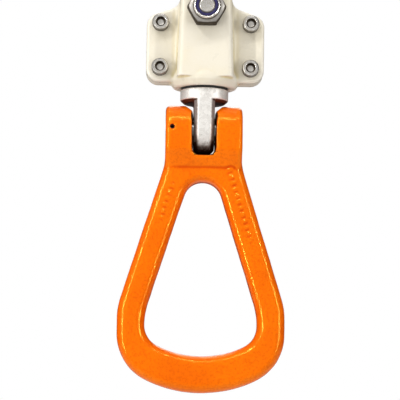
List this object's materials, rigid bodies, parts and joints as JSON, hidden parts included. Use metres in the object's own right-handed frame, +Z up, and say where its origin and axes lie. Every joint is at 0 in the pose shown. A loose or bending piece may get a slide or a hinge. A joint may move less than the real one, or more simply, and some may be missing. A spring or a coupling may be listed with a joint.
{
  "type": "swivel hoist ring",
  "caption": "Lower swivel block of a hoist line: two-part cream housing with ball thrust bearing, forged swivel eye and an orange pear-shaped link that hangs from a load pin.",
  "frame": {"origin": "centre of the anchor bolt, on the joint face of the two housing halves", "axes": "+Z up the hoist line along the swivel axis, +X across the flanges and along the load pin, -Y towards the side with the lock nut"},
  "size_m": [0.0846, 0.0486, 0.2091],
  "materials": {
    "cream_enamel": "gloss enamel over cast iron",
    "orange_enamel": "gloss enamel over forged steel",
    "stainless_fastener": "bright stainless",
    "galvanised_steel": "galvanised, lightly speckled",
    "pin_steel": "ground",
    "bearing_steel": "polished",
    "dark_spring_steel": "blackened",
    "bronze": "turned",
    "blue_nylon": "moulded",
    "black_rubber": "moulded"
  },
  "bodies": {
    "housing": {"housing_front": "cream_enamel", "housing_rear": "cream_enamel", "cap_screws": "stainless_fastener", "locating_dowels": "bearing_steel", "anchor_bolt": "stainless_fastener", "anchor_nut": "stainless_fastener", "nylon_insert": "blue_nylon", "shank_bush": "bronze", "dust_seal": "black_rubber", "lower_race": "bearing_steel"},
    "swivel": {"swivel_eye": "galvanised_steel", "upper_race": "bearing_steel", "shank_nut": "stainless_fastener", "nut_lock_pin": "bearing_steel"},
    "ball_train": {"ball_cage": "bronze", "bearing_balls": "bearing_steel"},
    "link": {"pear_link": "orange_enamel", "load_pin": "pin_steel", "spring_pin": "dark_spring_steel"}
  },
  "joints": [
    {"name": "swivel_turn", "type": "hinge", "parent": "housing", "child": "swivel", "pos_m": [0, 0, -0.0395], "axis": [0, 0, 1], "continuous": true},
    {"name": "ball_train_turn", "type": "hinge", "parent": "housing", "child": "ball_train", "pos_m": [0, 0, -0.0255], "axis": [0, 0, 1], "continuous": true},
    {"name": "link_swing", "type": "hinge", "parent": "swivel", "child": "link", "pos_m": [0, 0, -0.0602], "axis": [1, 0, 0], "range_deg": [-95, 95]}
  ],
  "couplings": [
    {"joint": "ball_train_turn", "follows": "swivel_turn", "ratio": 0.5}
  ]
}
